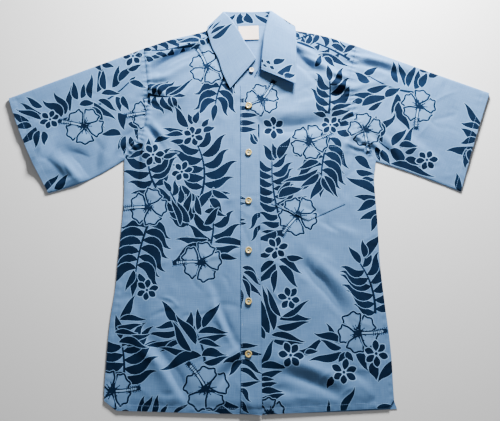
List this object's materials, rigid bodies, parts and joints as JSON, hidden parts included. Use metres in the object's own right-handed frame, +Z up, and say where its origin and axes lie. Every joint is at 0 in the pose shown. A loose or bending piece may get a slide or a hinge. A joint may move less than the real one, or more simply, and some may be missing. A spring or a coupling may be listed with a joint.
{
  "type": "hawaiian shirt laid flat",
  "caption": "Short-sleeved shirt in printed cotton, laid flat on its back and buttoned, with a spread pointed collar, a placket and a chest patch pocket.",
  "frame": {"origin": "on the table, under the middle of the laid-out shirt's outline", "axes": "+X to the viewer's right, seen from above with the collar at the top (the wearer's left), +Y from the hem toward the collar, +Z up off the table"},
  "size_m": [0.944, 0.7848, 0.0199],
  "materials": {
    "print_cloth": "light steel-blue plain-weave cotton with a matt navy flower and leaf print",
    "label_cloth": "cream woven ribbon, left bare",
    "button_resin": "cream cast resin, polished"
  },
  "bodies": {
    "root": {"back": "print_cloth", "yoke": "print_cloth", "front_left": "print_cloth", "front_right": "print_cloth", "placket": "print_cloth", "pocket": "print_cloth", "sleeve_left": "print_cloth", "sleeve_right": "print_cloth", "collar_stand": "print_cloth", "collar_leaf": "print_cloth", "label": "label_cloth", "button_1": "button_resin", "button_2": "button_resin", "button_3": "button_resin", "button_4": "button_resin", "button_5": "button_resin", "button_6": "button_resin", "button_collar": "button_resin"}
  },
  "joints": []
}
